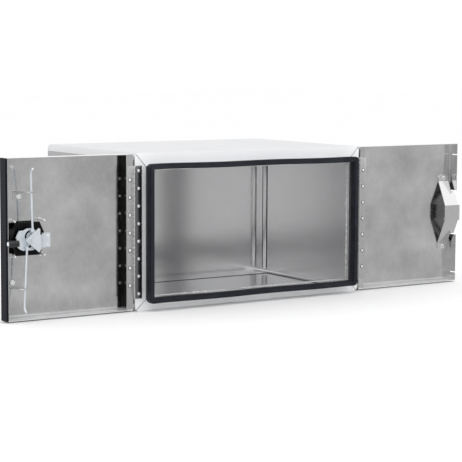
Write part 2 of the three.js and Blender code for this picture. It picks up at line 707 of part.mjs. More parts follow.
function pivotPin() {
  const end = lug.to + pinPast;
  return barX(pivot.pin, -pivot.high, pivot.z, -end, end, 16);
}

function lockPlug() {
  const body = postAt(lock.plug, 0, lock.z, lock.face, lock.deep, 24);
  const { keyHalf, keyTall, keyFloor } = lock;
  const [low, top] = [lock.z - keyTall, lock.z + keyTall];
  const keyway = blockAt(-keyHalf, keyHalf, lock.face - 1, lock.deep - keyFloor, low, top);
  return body.subtract(keyway);
}

// ---------------------------------------------------------------- left door assembly
function leftDoor() {
  const [ox, oy, oz] = latchGroup.position.toArray();
  const cuts = [postAt(dish.pocket + dish.wall + restGap, 0, 0, -sheet - 1, 1, 40)];
  const holes = [...dishBoltPlaces, ...bracketRivets.map((z) => [bracketRivetX, z])];
  for (const link of Object.values(links)) {
    const bolt = guideBoltPlace(link);
    holes.push([bolt.x, bolt.z]);
  }
  for (const [x, z] of holes) cuts.push(postAt(boltRadius + fit, x, z, -sheet - 1, 1, 16));
  const pan = doorPan(-1, leftDoorEdge).subtract(joined(cuts).translate([ox, oy, oz]));
  addTo(doorGroups.left, 'left_door_pan', pan, 'aluminium');
  const outerEdge = -leftDoorEdge - gap;
  addTo(doorGroups.left, 'left_door_edge_seal', block(outerEdge - edgeSealThickness, outerEdge,
    outToY(hingeGap), outToY(hingeGap + doorDepth), doorLow, doorHigh), 'rubber');
}

function latchParts() {
  addTo(latchGroup, 'latch_dish', latchDish(), 'plastic');
  dishBoltPlaces.forEach(([x, z], i) => {
    addTo(latchGroup, `dish_bolt_${i + 1}`, dishBolt(x, z), 'zinc');
    const nut = hexNut(x, z, gap, gap + dishNut.thick, dishNut.flats, boltRadius + fit);
    addTo(latchGroup, `dish_nut_${i + 1}`, nut, 'zinc');
  });
  addTo(latchGroup, 'latch_spindle', latchSpindle(), 'zinc');
  addTo(latchGroup, 'cam_plate', camPlate(), 'zinc');
  addTo(latchGroup, 'roller_stud', rollerStud(), 'zinc');
  addTo(latchGroup, 'latch_roller', latchRoller(), 'nylon');
  const nutLow = bracketHigh + gap;
  const nut = hexNut(0, 0, nutLow, nutLow + hubNut.thick, hubNut.flats, stubRadius + fit);
  addTo(latchGroup, 'spindle_nut', nut, 'zinc');
  addTo(latchGroup, 'latch_bracket', latchBracket(), 'zinc');
  bracketRivets.forEach((z, i) => {
    const rivetSolid = throughRivet(bracketRivetX, z, restGap + footThickness);
    addTo(latchGroup, `bracket_rivet_${i + 1}`, rivetSolid, 'stainless');
  });
  for (const [name, link] of Object.entries(links)) {
    addTo(latchGroup, `${name}_rod`, latchRod(link), 'zinc');
    addTo(latchGroup, `${name}_rod_pin`, linkPin(link), 'zinc');
    addTo(latchGroup, `${name}_rod_guide`, rodGuide(link), 'stainless');
    addTo(latchGroup, `${name}_guide_bolt`, guideBolt(link), 'stainless');
  }
  addTo(latchGroup, 't_handle', tHandle(), 'stainless');
  addTo(latchGroup, 'handle_pivot_pin', pivotPin(), 'stainless');
  addTo(latchGroup, 'lock_plug', lockPlug(), 'stainless');
}

// ---------------------------------------------------------------- right door assembly
const strike = {
  left: axisX - 53.25, narrow: axisX - 12.25, rampEdge: axisX + 2.75, faceEdge: axisX + 8.75,
  halfFace: 25, halfRamp: 102.5, footLong: 21, footRound: 13, wideHalf: 70, thickness: 3,
  face: rollerHigh - rollerRadius - rollerOverStrike,
  boltHead: 3, boltEnd: 2.4, edgeClear: 3, skinClear: 6 };

function strikePlate() {
  const k = strike;
  const base = restGap;
  const top = k.face;
  const t = k.thickness;
  const footEnd = k.halfRamp + k.footLong;
  const outside = [[0, top], [k.halfFace, top], [k.halfRamp, base + t], [footEnd, base + t]];
  const inside = [[footEnd, base], [k.halfRamp - 1, base], [k.halfFace - 1, top - t], [0, top - t]];
  const section = [...outside, ...inside].map(([z, h]) => [-h, z]);
  const half = sideways(outline(section), k.left, k.faceEdge);
  const strip = half.add(half.mirror([0, 0, 1]));
  const keep = joined([
    facing(roundedRectangle(k.left, k.narrow, -footEnd, footEnd, k.footRound), -top - 1, 1),
    block(k.left, k.rampEdge, -top - 1, 1, -k.wideHalf, k.wideHalf),
    block(k.left, k.faceEdge, -top - 1, 1, -k.halfFace, k.halfFace)]);
  const boltX = (k.left + k.narrow) / 2;
  let solid = strip.intersect(keep);
  for (const z of strikeBoltZs()) {
    solid = solid.subtract(barY(boltRadius + fit, boltX, z, -9, 1, 16));
  }
  return solid;
}

function strikeBoltZs() {
  const z = strike.halfRamp + strike.footLong / 2;
  return [z, -z];
}

function rightDoor() {
  const k = strike;
  const faceY = innerFaceY;
  const place = (solid) => solid.translate([0, faceY, middleZ]);
  const boltX = (k.left + k.narrow) / 2;
  let pan = doorPan(1, rightDoorEdge);
  const clearHalf = k.wideHalf + k.edgeClear;
  const notchFrom = k.narrow + k.edgeClear;
  const notch = block(notchFrom, rightDoorEdge + 1, -skinInner, -k.skinClear, -clearHalf, clearHalf);
  pan = pan.subtract(place(notch));
  for (const z of strikeBoltZs()) {
    pan = pan.subtract(place(barY(boltRadius + fit, boltX, z, -1, sheet + 1, 16)));
  }
  addTo(doorGroups.right, 'right_door_pan', pan, 'aluminium');
  addTo(doorGroups.right, 'strike_plate', place(strikePlate()), 'stainless');
  const footTop = 2 * restGap + k.thickness;
  strikeBoltZs().forEach((z, i) => {
    const bolt = joined([
      barY(boltHeadRadius, boltX, z, -footTop - k.boltHead, -footTop, 20),
      barY(boltRadius, boltX, z, -footTop - 1, sheet + 1, 16),
      barY(boltHeadRadius, boltX, z, sheet + restGap, sheet + restGap + k.boltEnd, 20)]);
    addTo(doorGroups.right, i === 0 ? 'strike_bolt_upper' : 'strike_bolt_lower', place(bolt), 'stainless');
  });
}

leftDoor();
latchParts();
rightDoor();

export default group;
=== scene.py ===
import json
import math

import bpy
from mathutils import Matrix, Vector


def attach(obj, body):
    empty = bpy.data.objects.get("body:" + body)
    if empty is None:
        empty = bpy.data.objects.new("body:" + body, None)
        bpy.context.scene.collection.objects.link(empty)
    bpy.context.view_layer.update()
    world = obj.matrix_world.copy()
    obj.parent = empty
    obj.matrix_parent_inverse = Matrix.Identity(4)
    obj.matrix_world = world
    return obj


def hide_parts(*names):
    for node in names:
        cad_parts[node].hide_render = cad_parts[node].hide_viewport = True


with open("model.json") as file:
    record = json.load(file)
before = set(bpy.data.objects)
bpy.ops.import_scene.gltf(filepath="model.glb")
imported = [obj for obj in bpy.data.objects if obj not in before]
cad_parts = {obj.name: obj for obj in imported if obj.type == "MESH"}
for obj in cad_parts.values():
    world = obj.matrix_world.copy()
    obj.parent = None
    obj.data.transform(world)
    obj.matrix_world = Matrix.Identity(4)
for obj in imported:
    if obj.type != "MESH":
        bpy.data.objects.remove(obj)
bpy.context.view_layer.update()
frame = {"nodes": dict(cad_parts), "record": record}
mm = 0.001
up = Vector((0, 0, 1))

# box sizes that the pieces below share, in metres
cabinet = {
    "halfWidth": 404 * mm, "front": -273.5 * mm, "height": 457 * mm,
    "hingeX": 407.25 * mm, "hingeY": -276.75 * mm,
    "mouthHalf": 369.5 * mm, "mouthTop": 419.5 * mm, "mouthLow": 30.5 * mm,
    "middle": 228.5 * mm,
}


def clearSelection():
    bpy.ops.object.select_all(action="DESELECT")


def pickOnly(piece):
    clearSelection()
    piece.select_set(True)
    bpy.context.view_layer.objects.active = piece


def editMode(kind="VERT"):
    bpy.ops.object.mode_set(mode="EDIT")
    bpy.ops.mesh.select_mode(type=kind)


def objectMode():
    bpy.ops.object.mode_set(mode="OBJECT")


def settle(piece):
    # puts the place, turn and size into the mesh
    pickOnly(piece)
    bpy.ops.object.transform_apply(location=True, rotation=True, scale=True)
    return piece


def addBlock(low, high):
    clearSelection()
    middle = [(a + b) / 2 for a, b in zip(low, high)]
    bpy.ops.mesh.primitive_cube_add(size=1, location=middle)
    piece = bpy.context.object
    piece.scale = [abs(b - a) for a, b in zip(low, high)]
    return settle(piece)


def addRound(centre, radius, length, axis, sides=24):
    clearSelection()
    turns = {"X": (0, math.pi / 2, 0), "Y": (math.pi / 2, 0, 0), "Z": (0, 0, 0)}
    bpy.ops.mesh.primitive_cylinder_add(vertices=sides, radius=radius, depth=length,
                                        location=centre, rotation=turns[axis])
    return settle(bpy.context.object)


def addDome(centre, radius, rise, axis, segments=20):
    # a flattened half ball whose flat side is at centre
    clearSelection()
    bpy.ops.mesh.primitive_uv_sphere_add(segments=segments, ring_count=12, radius=1)
    piece = bpy.context.object
    editMode()
    bpy.ops.mesh.select_all(action="SELECT")
    bpy.ops.mesh.bisect(plane_co=(0, 0, 0), plane_no=(0, 0, 1), use_fill=True, clear_inner=True)
    objectMode()
    piece.scale = (radius, radius, rise)
    piece.rotation_mode = "QUATERNION"
    piece.rotation_quaternion = up.rotation_difference(Vector(axis))
    piece.location = centre
    return settle(piece)


def roundEdges(piece, width, segments=2, angle=30, keepFlat=False):
    pickOnly(piece)
    if keepFlat:
        bpy.ops.object.shade_smooth_by_angle(angle=math.radians(angle))
    bevel = piece.modifiers.new("roundedEdges", "BEVEL")
    bevel.width = width
    bevel.segments = segments
    bevel.limit_method = "ANGLE"
    bevel.angle_limit = math.radians(angle)
    bevel.harden_normals = keepFlat
    bpy.ops.object.modifier_apply(modifier=bevel.name)
    return piece


def smooth(piece, angle=35):
    pickOnly(piece)
    bpy.ops.object.shade_smooth_by_angle(angle=math.radians(angle))
    return piece


def join(parts):
    clearSelection()
    for part in parts:
        part.select_set(True)
    bpy.context.view_layer.objects.active = parts[0]
    bpy.ops.object.join()
    return bpy.context.object


def copyOf(piece, shift=(0, 0, 0)):
    twin = piece.copy()
    twin.data = piece.data.copy()
    bpy.context.scene.collection.objects.link(twin)
    twin.data.transform(Matrix.Translation(shift))
    return twin


def dress(piece, name, body, slotName, material, *nodes):
    piece.name = name
    piece.data.name = name
    if material:
        piece.data.materials.clear()
        piece.data.materials.append(material)
    if nodes:
        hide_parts(*nodes)
    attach(piece, body)
    return piece


def bodyOf(node):
    for body, nodes in frame["record"]["behaviour"]["bodies"].items():
        if node in nodes:
            return body
    return None


weld = {"distance": 0.00001, "flat": 1}


def softened(node, name, slotName, material, width=0.4 * mm, segments=2, angle=35):
    # a merged copy of a machined or pressed piece with its sharp edges broken
    source = frame["nodes"][node]
    piece = bpy.data.objects.new(name, source.data.copy())
    bpy.context.scene.collection.objects.link(piece)
    pickOnly(piece)
    if piece.data.has_custom_normals:
        bpy.ops.mesh.customdata_custom_splitnormals_clear()
    editMode()
    bpy.ops.mesh.select_all(action="SELECT")
    bpy.ops.mesh.remove_doubles(threshold=weld["distance"])
    bpy.ops.mesh.dissolve_limited(angle_limit=math.radians(weld["flat"]))
    objectMode()
    roundEdges(piece, width, segments, angle, keepFlat=True)
    return dress(piece, name, bodyOf(node), slotName, material, node)


def newGroup(name, inputs, outputs):
    tree = bpy.data.node_groups.new(name, "ShaderNodeTree")
    for label, kind, value in inputs:
        socket = tree.interface.new_socket(name=label, in_out="INPUT", socket_type=kind)
        if value is not None:
            socket.default_value = value
    for label, kind in outputs:
        tree.interface.new_socket(name=label, in_out="OUTPUT", socket_type=kind)
    entry = tree.nodes.new("NodeGroupInput")
    leave = tree.nodes.new("NodeGroupOutput")
    return tree, entry, leave


def noiseNode(tree, vector, scale, detail=3.0, roughness=0.5):
    node = tree.nodes.new("ShaderNodeTexNoise")
    node.inputs["Scale"].default_value = scale
    node.inputs["Detail"].default_value = detail
    node.inputs["Roughness"].default_value = roughness
    tree.links.new(vector, node.inputs["Vector"])
    return node


def mathNode(tree, operation, first, second=None, third=None):
    node = tree.nodes.new("ShaderNodeMath")
    node.operation = operation
    for slotNumber, value in enumerate((first, second, third)):
        if value is None:
            continue
        if isinstance(value, (int, float)):
            node.inputs[slotNumber].default_value = value
        else:
            tree.links.new(value, node.inputs[slotNumber])
    return node.outputs[0]


# noise as scale, detail and roughness
brush = {"lines": (1.0, 4.0, 0.65), "clouds": (7.0, 4.0, 0.6), "wide": (2.2, 1.0, 0.4),
         "cloudShare": 0.6, "lineShare": 0.4, "lineHeight": 0.004}


def brushedGroup():
    # fine drawn lines, cloudy handling marks and slow waves of a thin sheet
    tree, entry, leave = newGroup("brushedSheet", [
        ("Vector", "NodeSocketVector", None), ("Line Vector", "NodeSocketVector", None),
        ("Line Depth", "NodeSocketFloat", 0.3), ("Cloud Depth", "NodeSocketFloat", 0.3),
        ("Wave Depth", "NodeSocketFloat", 0.3)],
        [("Tone", "NodeSocketFloat"), ("Gloss", "NodeSocketFloat"), ("Height", "NodeSocketFloat")])
    lines = noiseNode(tree, entry.outputs["Line Vector"], *brush["lines"])
    clouds = noiseNode(tree, entry.outputs["Vector"], *brush["clouds"])
    wide = noiseNode(tree, entry.outputs["Vector"], *brush["wide"])
    lineTone = mathNode(tree, "MULTIPLY", mathNode(tree, "SUBTRACT", lines.outputs["Fac"], 0.5),
                        entry.outputs["Line Depth"])
    cloudTone = mathNode(tree, "MULTIPLY", mathNode(tree, "SUBTRACT", clouds.outputs["Fac"], 0.5),
                         entry.outputs["Cloud Depth"])
    tone = mathNode(tree, "ADD", mathNode(tree, "ADD", lineTone, cloudTone), 0.5)
    gloss = mathNode(tree, "ADD", mathNode(tree, "MULTIPLY", clouds.outputs["Fac"], brush["cloudShare"]),
                     mathNode(tree, "MULTIPLY", lines.outputs["Fac"], brush["lineShare"]))
    waves = mathNode(tree, "MULTIPLY", wide.outputs["Fac"], entry.outputs["Wave Depth"])
    fine = mathNode(tree, "MULTIPLY", lines.outputs["Fac"], brush["lineHeight"])
    height = mathNode(tree, "ADD", fine, waves)
    tree.links.new(tone, leave.inputs["Tone"])
    tree.links.new(gloss, leave.inputs["Gloss"])
    tree.links.new(height, leave.inputs["Height"])
    return tree


rub = {"spots": (60.0, 5.0, 0.62), "grain": (900.0, 2.0, 0.5), "from": 0.42, "to": 0.72}


def grimeGroup():
    # dust and rub marks, used by the plastic, rubber and plated pieces
    tree, entry, leave = newGroup("rubMarks", [
        ("Vector", "NodeSocketVector", None), ("Spot Scale", "NodeSocketFloat", 60.0),
        ("Amount", "NodeSocketFloat", 0.5)],
        [("Mask", "NodeSocketFloat"), ("Height", "NodeSocketFloat")])
    spots = noiseNode(tree, entry.outputs["Vector"], *rub["spots"])
    tree.links.new(entry.outputs["Spot Scale"], spots.inputs["Scale"])
    grain = noiseNode(tree, entry.outputs["Vector"], *rub["grain"])
    ranged = tree.nodes.new("ShaderNodeMapRange")
    ranged.inputs["From Min"].default_value = rub["from"]
    ranged.inputs["From Max"].default_value = rub["to"]
    tree.links.new(spots.outputs["Fac"], ranged.inputs["Value"])
    mask = mathNode(tree, "MULTIPLY", ranged.outputs["Result"], entry.outputs["Amount"])
    tree.links.new(mask, leave.inputs["Mask"])
    tree.links.new(grain.outputs["Fac"], leave.inputs["Height"])
    return tree


brushedSheet = brushedGroup()
rubMarks = grimeGroup()
relief = {"sheet": 0.01, "soft": 0.0004, "strength": 0.25}


def startMaterial(name):
    material = bpy.data.materials.new(name)
    material.use_nodes = True
    tree = material.node_tree
    return material, tree, tree.nodes["Principled BSDF"]


def mixColour(tree, factor, first, second):
    node = tree.nodes.new("ShaderNodeMix")
    node.data_type = "RGBA"
    node.clamp_factor = True
    if isinstance(factor, (int, float)):
        node.inputs[0].default_value = factor
    else:
        tree.links.new(factor, node.inputs[0])
    for slotNumber, value in ((6, first), (7, second)):
        if isinstance(value, (tuple, list)):
            node.inputs[slotNumber].default_value = (*value, 1)
        else:
            tree.links.new(value, node.inputs[slotNumber])
    return node.outputs[2]


def rangeOf(tree, value, low, high):
    node = tree.nodes.new("ShaderNodeMapRange")
    node.inputs["To Min"].default_value = low
    node.inputs["To Max"].default_value = high
    tree.links.new(value, node.inputs["Value"])
    return node.outputs["Result"]


def sheetMaterial(name, look):
    # aluminium or stainless sheet: look holds dark, light, rough, lines (scale on X, Y, Z) and depths
    material, tree, shader = startMaterial(name)
    place = tree.nodes.new("ShaderNodeTexCoord")
    drawn = tree.nodes.new("ShaderNodeMapping")
    drawn.inputs["Scale"].default_value = look["lines"]
    tree.links.new(place.outputs["Object"], drawn.inputs["Vector"])
    surface = tree.nodes.new("ShaderNodeGroup")
    surface.node_tree = brushedSheet
    surface.inputs["Line Depth"].default_value = look["lineDepth"]
    surface.inputs["Cloud Depth"].default_value = look["cloudDepth"]
    surface.inputs["Wave Depth"].default_value = look["waveDepth"]
    tree.links.new(place.outputs["Object"], surface.inputs["Vector"])
    tree.links.new(drawn.outputs["Vector"], surface.inputs["Line Vector"])
    colour = mixColour(tree, surface.outputs["Tone"], look["dark"], look["light"])
    for region in look.get("regions", []):
        mask = regionMask(tree, place, region)
        colour = mixColour(tree, mask, colour, region["colour"])
        if "metal" in region:
            tree.links.new(rangeOf(tree, mask, look.get("metal", 1.0), region["metal"]),
                           shader.inputs["Metallic"])
    tree.links.new(colour, shader.inputs["Base Color"])
    tree.links.new(rangeOf(tree, surface.outputs["Gloss"], *look["rough"]), shader.inputs["Roughness"])
    bump = tree.nodes.new("ShaderNodeBump")
    bump.inputs["Strength"].default_value = relief["strength"]
    bump.inputs["Distance"].default_value = relief["sheet"]
    tree.links.new(surface.outputs["Height"], bump.inputs["Height"])
    tree.links.new(bump.outputs["Normal"], shader.inputs["Normal"])
    shader.inputs["Metallic"].default_value = look.get("metal", 1.0)
    return material


def regionMask(tree, place, region):
    # 1 between limits in object space; "facing" keeps the faces whose normal lies between two limits
    split = tree.nodes.new("ShaderNodeSeparateXYZ")
    tree.links.new(place.outputs["Object"], split.inputs["Vector"])
    mask = None
    for axis, low, high in region["between"]:
        value = split.outputs[axis]
        inside = mathNode(tree, "MULTIPLY", mathNode(tree, "GREATER_THAN", value, low),
                          mathNode(tree, "LESS_THAN", value, high))
        mask = inside if mask is None else mathNode(tree, "MULTIPLY", mask, inside)
    if "facing" in region:
        normals = tree.nodes.new("ShaderNodeNewGeometry")
        part = tree.nodes.new("ShaderNodeSeparateXYZ")
        tree.links.new(normals.outputs["True Normal"], part.inputs["Vector"])
        axis, low, high = region["facing"]
        facing = mathNode(tree, "MULTIPLY", mathNode(tree, "GREATER_THAN", part.outputs[axis], low),
                          mathNode(tree, "LESS_THAN", part.outputs[axis], high))
        mask = facing if mask is None else mathNode(tree, "MULTIPLY", mask, facing)
    return mask


def softMaterial(name, look):
    # rubber, plastic and plating: a base colour with rub marks and a fine grain
    material, tree, shader = startMaterial(name)
    place = tree.nodes.new("ShaderNodeTexCoord")
    marks = tree.nodes.new("ShaderNodeGroup")
    marks.node_tree = rubMarks
    marks.inputs["Spot Scale"].default_value = look["spots"]
    marks.inputs["Amount"].default_value = look["marks"]
    tree.links.new(place.outputs["Object"], marks.inputs["Vector"])
    colour = mixColour(tree, marks.outputs["Mask"], look["base"], look["rubbed"])
    for region in look.get("regions", []):
        colour = mixColour(tree, regionMask(tree, place, region), colour, region["colour"])
    tree.links.new(colour, shader.inputs["Base Color"])
    tree.links.new(rangeOf(tree, marks.outputs["Mask"], *look["rough"]), shader.inputs["Roughness"])
    bump = tree.nodes.new("ShaderNodeBump")
    bump.inputs["Strength"].default_value = look["grain"]
    bump.inputs["Distance"].default_value = relief["soft"]
    tree.links.new(marks.outputs["Height"], bump.inputs["Height"])
    tree.links.new(bump.outputs["Normal"], shader.inputs["Normal"])
    shader.inputs["Metallic"].default_value = look.get("metal", 0.0)
    shader.inputs["Specular IOR Level"].default_value = look.get("specular", 0.5)
    return material


alongX = (9, 700, 700)
alongZ = (700, 700, 9)
alongY = (700, 9, 700)
fineGrain = (260, 260, 60)
innerShell = {"dark": (0.88, 0.88, 0.89), "light": (0.98, 0.98, 0.985), "rough": (0.13, 0.26),
              "lines": alongX, "lineDepth": 0.6, "cloudDepth": 1.2, "waveDepth": 0.45}
finishes = {
    "roof": {"dark": (0.64, 0.645, 0.66), "light": (0.78, 0.785, 0.80), "rough": (0.28, 0.42),
             "lines": alongX, "lineDepth": 0.5, "cloudDepth": 0.8, "waveDepth": 0.04},
    "shell": {**innerShell, "regions": [
        {"between": [("Y", 0.2725, 1)], "facing": ("Y", 0.5, 1.1), "colour": (0.40, 0.40, 0.415)}]},
    "end": {**innerShell, "lines": alongY, "regions": [
        {"between": [("X", -1, -0.4035)], "facing": ("X", -1.1, -0.5), "colour": (0.40, 0.40, 0.415)},
        {"between": [("X", 0.4035, 1)], "facing": ("X", 0.5, 1.1), "colour": (0.40, 0.40, 0.415)}]},
    "frame": {"dark": (0.88, 0.89, 0.91), "light": (0.97, 0.975, 0.99), "rough": (0.34, 0.5), "metal": 0.12,
              "lines": alongX, "lineDepth": 0.4, "cloudDepth": 0.9, "waveDepth": 0.02, "regions": [
                  # the frame's faces between Y -0.305 and -0.2745 that look left (-X) are painted near black
                  # and made more metallic: painted shade
                  {"between": [("Y", -0.305, -0.2745)], "facing": ("X", -1.1, -0.5),
                   "colour": (0.13, 0.13, 0.14), "metal": 0.8}]},
    "door": {"dark": (0.60, 0.60, 0.60), "light": (0.92, 0.92, 0.92), "rough": (0.08, 0.17),
             "lines": fineGrain, "lineDepth": 0.45, "cloudDepth": 2.1, "waveDepth": 0.02,
             "regions": [
                 # the door's upward faces below 6 mm height are painted near white and made less metallic: a
                 # painted highlight on the top face of the bottom flange
                 {"between": [("Z", -1, 0.006)], "facing": ("Z", 0.5, 1.1), "colour": (0.9, 0.91, 0.93),
                  "metal": 0.2},
                 # the door's faces that look into the box (+Y) within the thin slice Y -0.2728 to -0.2700
                 # are painted near black: painted shade
                 {"between": [("Y", -0.2728, -0.2700)], "facing": ("Y", 0.5, 1.1),
                  "colour": (0.035, 0.033, 0.03)}]},
    "leaf": {"dark": (0.62, 0.62, 0.62), "light": (0.84, 0.84, 0.84), "rough": (0.2, 0.34),
             "lines": alongZ, "lineDepth": 0.8, "cloudDepth": 0.5, "waveDepth": 0.0},
    # a darker copy of the hinge leaves' stainless: painted shade on the frame-side leaf plate; the mitre
    # welds use it as their own dark colour
    "leafPaintedShadeAndWeld": {"dark": (0.18, 0.18, 0.185), "light": (0.36, 0.36, 0.37), "rough": (0.2, 0.34),
                 "lines": (500, 500, 500), "lineDepth": 1.0, "cloudDepth": 0.6, "waveDepth": 0.0},
    "plated": {"dark": (0.68, 0.73, 0.78), "light": (0.88, 0.93, 0.98), "rough": (0.26, 0.44), "metal": 0.55,
               "lines": (60, 60, 60), "lineDepth": 0.8, "cloudDepth": 1.0, "waveDepth": 0.0},
    "bright": {"dark": (0.84, 0.84, 0.85), "light": (0.97, 0.97, 0.98), "rough": (0.2, 0.34), "metal": 0.4,
               "lines": (80, 80, 80), "lineDepth": 0.5, "cloudDepth": 0.6, "waveDepth": 0.0},
    "polishedPaintedReflection": {"dark": (0.80, 0.80, 0.81), "light": (0.93, 0.93, 0.94), "rough": (0.12, 0.2),
                 "lines": (80, 80, 80), "lineDepth": 0.4, "cloudDepth": 0.5, "waveDepth": 0.0, "regions": [
                     # the strike's faces that look +Y are painted dark: a painted dark reflection
                     {"between": [("Y", -1, 1)], "facing": ("Y", 0.5, 1.1), "colour": (0.14, 0.14, 0.145)}]},
}
metals = {name: sheetMaterial(name + "Metal", look) for name, look in finishes.items()}

# black rubber of the mouth seal; the same material makes the painted shade rings under the rivet heads
blackRubberAndRivetShade = softMaterial("blackRubberAndRivetShade", {
    "base": (0.013, 0.015, 0.021), "rubbed": (0.032, 0.036, 0.048), "spots": 30, "marks": 0.5,
    "rough": (0.45, 0.62), "grain": 0.25, "specular": 0.2})
edgeRubber = softMaterial("edgeRubber", {
    "base": (0.006, 0.007, 0.011), "rubbed": (0.016, 0.018, 0.027), "spots": 26, "marks": 0.5,
    "rough": (0.5, 0.66), "grain": 0.2, "specular": 0.1})
# black plastic of the handle dish; the same material makes the painted shade crosses on the strike bolt
# heads
blackPlasticAndCrossShade = softMaterial("blackPlasticAndCrossShade", {
    "base": (0.003, 0.003, 0.0035), "rubbed": (0.012, 0.012, 0.014), "spots": 70, "marks": 0.5,
    "rough": (0.3, 0.5), "grain": 0.4, "specular": 0.16})
blackNylon = softMaterial("blackNylon", {
    "base": (0.010, 0.010, 0.011), "rubbed": (0.045, 0.045, 0.05), "spots": 120, "marks": 0.5,
    "rough": (0.3, 0.5), "grain": 0.2, "specular": 0.5})
print("finishes made")


def coat(node, material):
    piece = frame["nodes"][node]
    piece.data.materials.clear()
    piece.data.materials.append(material)


coat("roof_panel", metals["roof"])
for node in ("floor_panel", "back_panel"):
    coat(node, metals["shell"])
for node in ("left_end_panel", "right_end_panel"):
    coat(node, metals["end"])
for node in ("frame_top", "frame_bottom", "frame_left", "frame_right"):
    softened(node, node.replace("frame_", "front_frame_"), "aluminium_sheet", metals["frame"], 0.5 * mm)
for node in ("left_door_pan", "right_door_pan"):
    softened(node, node.replace("_pan", "_sheet"), "aluminium_sheet", metals["door"], 0.35 * mm)
print("sheets dressed")

inside = {
    "wall": 401.8 * mm, "cornerFar": 250 * mm, "cornerNear": 226 * mm, "stripThick": 1.2 * mm,
    "stripRound": 0.4 * mm, "low": 16 * mm, "high": 441 * mm, "bead": 0.9 * mm, "floorBead": 1.2 * mm,
    "floor": 2 * mm, "floorLift": 0.2 * mm, "floorLine": 205 * mm, "sideLine": 391 * mm,
    "front": -262 * mm,
}
sealant = softMaterial("greySealant", {
    "base": (0.09, 0.09, 0.09), "rubbed": (0.17, 0.17, 0.17), "spots": 40, "marks": 0.7,
    "rough": (0.6, 0.8), "grain": 0.3, "specular": 0.05})


def bead(start, end, radius):
    # a run of sealant between two points, rounded at both ends
    start, end = Vector(start), Vector(end)
    clearSelection()
    bpy.ops.mesh.primitive_cylinder_add(vertices=12, radius=radius, depth=(end - start).length)
    piece = bpy.context.object
    piece.rotation_mode = "QUATERNION"
    piece.rotation_quaternion = up.rotation_difference(end - start)
    piece.location = (start + end) / 2
    settle(piece)
    return smooth(roundEdges(piece, radius * 0.5, 2, 60), 40)


def cornerStrip(side):
    # the upright strip that laps the back corner, with a run of sealant down each edge
    i = inside
    inner, face = side * i["wall"], side * (i["wall"] - i["stripThick"])
    strip = addBlock((min(inner, face), i["cornerNear"], i["low"]),
                     (max(inner, face), i["cornerFar"], i["high"]))
    roundEdges(strip, i["stripRound"], 2)
    label = "left" if side < 0 else "right"
    dress(smooth(strip), f"{label}_corner_strip", "cabinet", "aluminium_sheet", metals["shell"])
    runs = [bead((face, y, i["low"]), (face, y, i["high"]), i["bead"])
            for y in (i["cornerNear"], i["cornerFar"])]
    dress(join(runs), f"{label}_corner_sealant", "cabinet", "rubber_seal", sealant)


def floorSealant():
    i = inside
    z = i["floor"] + i["floorLift"]
    runs = [bead((-i["sideLine"], i["floorLine"], z), (i["sideLine"], i["floorLine"], z), i["floorBead"])]
    for side in (-1, 1):
        runs.append(bead((side * i["sideLine"], i["floorLine"], z), (side * i["sideLine"], i["front"], z),
                         i["floorBead"]))
    dress(join(runs), "floor_sealant", "cabinet", "rubber_seal", sealant)


mitre = {"proud": 0.25 * mm, "clear": 3 * mm, "radius": 0.7 * mm}


def mitreBeads():
    # the dressed welds along the four mitres of the front frame
    y = cabinet["front"] - mitre["proud"]
    clear = mitre["clear"]
    runs = []
    for side in (-1, 1):
        for outer, inner, way in ((0, cabinet["mouthLow"], 1), (cabinet["height"], cabinet["mouthTop"], -1)):
            runs.append(bead((side * (cabinet["halfWidth"] - clear), y, outer + way * clear),
                             (side * cabinet["mouthHalf"], y, inner), mitre["radius"]))
    dress(join(runs), "mitre_welds", "cabinet", "aluminium_sheet", metals["leafPaintedShadeAndWeld"])


for side in (-1, 1):
    cornerStrip(side)
floorSealant()
mitreBeads()
print("seams made")


sealLook = {"round": 3.2 * mm, "segments": 4, "angle": 40, "sag": 0.7 * mm, "waves": 17, "hold": 0.355,
            "shift": 0.6, "firstCut": -0.33, "cutStep": 0.03, "cuts": 23, "smooth": 50}


def cutAlong(piece, axis, places):
    for place in places:
        pickOnly(piece)
        editMode()
        bpy.ops.mesh.select_all(action="SELECT")
        point = [0, 0, 0]
        point[axis] = place
        normal = [0, 0, 0]
        normal[axis] = 1
        bpy.ops.mesh.bisect(plane_co=point, plane_no=normal)
        objectMode()


def mouthSeal():
    look = sealLook
    piece = softened("door_gasket", "mouth_seal", "rubber_seal", blackRubberAndRivetShade, look["round"],
                     look["segments"], look["angle"])
    cutAlong(piece, 0, [(look["firstCut"] + look["cutStep"] * i) for i in range(look["cuts"])])
    for v in piece.data.vertices:
        # the top and bottom runs sag a little between where they are pressed home
        if abs(v.co.x) < look["hold"]:
            v.co.z += look["sag"] * math.sin(v.co.x * look["waves"] + look["shift"])
    return smooth(piece, look["smooth"])


trim = {"wide": 3.2 * mm, "back": -272 * mm, "front": -277 * mm, "half": 360.2 * mm,
        "low": 39.8 * mm, "high": 410.2 * mm, "rodGap": (-92 * mm, -40 * mm), "round": 0.5 * mm}


def mouthTrim():
    # the bright edge of the seal's clip that shows just inside the mouth, open where the rods pass
    t = trim
    parts = []
    for edge in (-t["half"], t["half"] - t["wide"]):
        parts.append(addBlock((edge, t["front"], t["low"]), (edge + t["wide"], t["back"], t["high"])))
    reach = t["half"] - t["wide"]
    for edge in (t["low"], t["high"] - t["wide"]):
        for start, end in ((-reach, t["rodGap"][0]), (t["rodGap"][1], reach)):
            parts.append(addBlock((start, t["front"], edge), (end, t["back"], edge + t["wide"])))
    piece = roundEdges(join(parts), t["round"], 2)
    return dress(smooth(piece), "mouth_trim", "cabinet", "aluminium_sheet", metals["bright"])


mouthSeal()
mouthTrim()
print("mouth seal made")


